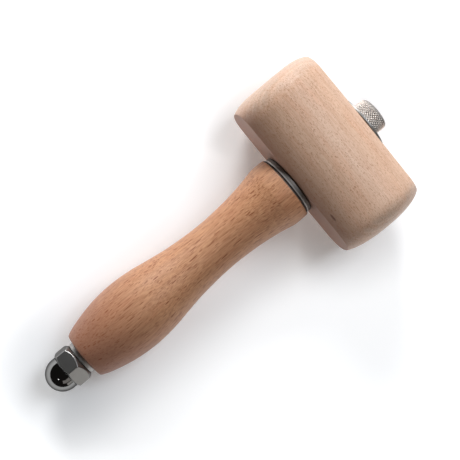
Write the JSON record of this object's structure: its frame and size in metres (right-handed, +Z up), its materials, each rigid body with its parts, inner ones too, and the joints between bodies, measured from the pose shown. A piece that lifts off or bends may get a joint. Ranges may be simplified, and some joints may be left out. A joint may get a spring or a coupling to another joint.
{
  "type": "wooden mallet",
  "caption": "Small turned beech mallet: a barrel head with rounded faces and a waisted handle, clamped together by a through bolt with a knurled cap and a domed nut.",
  "frame": {"origin": "on the ground under the middle of the mallet's box, with the mallet lying on its side as it rests on a table", "axes": "+X from the domed nut at the butt towards the head (the handle's axis rises 4.39 degrees towards the head, because the barrel is thicker than the handle), +Y along the head's barrel from one striking face to the other, +Z up"},
  "size_m": [0.1934, 0.0848, 0.052],
  "materials": {
    "head_beech": "pale pinkish beech, sanded and unvarnished, grain along the barrel",
    "handle_beech": "warmer tan beech with dark short flecks, lightly oiled, grain along the handle",
    "bolt_steel": "nickel plated, diamond knurl on the cap",
    "washer_steel": "plain zinc plated, satin",
    "polished_steel": "polished dome and bright hexagon"
  },
  "bodies": {
    "mallet": {"head": "head_beech", "handle": "handle_beech", "neck_washer": "washer_steel", "top_washer": "washer_steel"},
    "bolt": {"through_bolt": "bolt_steel"},
    "ring": {"butt_washer": "washer_steel"},
    "nut": {"acorn_nut": "polished_steel"}
  },
  "joints": [
    {"name": "bolt_turn", "type": "hinge", "parent": "mallet", "child": "bolt", "pos_m": [0.08826, 0, 0.02772], "axis": [0.9971, 0, 0.0765], "continuous": true},
    {"name": "nut_travel", "type": "slide", "parent": "bolt", "child": "ring", "axis": [-0.9971, 0, -0.0765], "range_m": [0, 0.012]},
    {"name": "nut_turn", "type": "hinge", "parent": "ring", "child": "nut", "pos_m": [-0.07875, 0, 0.0149], "axis": [-0.9971, 0, -0.0765], "range_deg": [0, 2880]}
  ],
  "couplings": [
    {"joint": "nut_turn", "follows": "nut_travel", "rad_per_m": 4188.8}
  ]
}
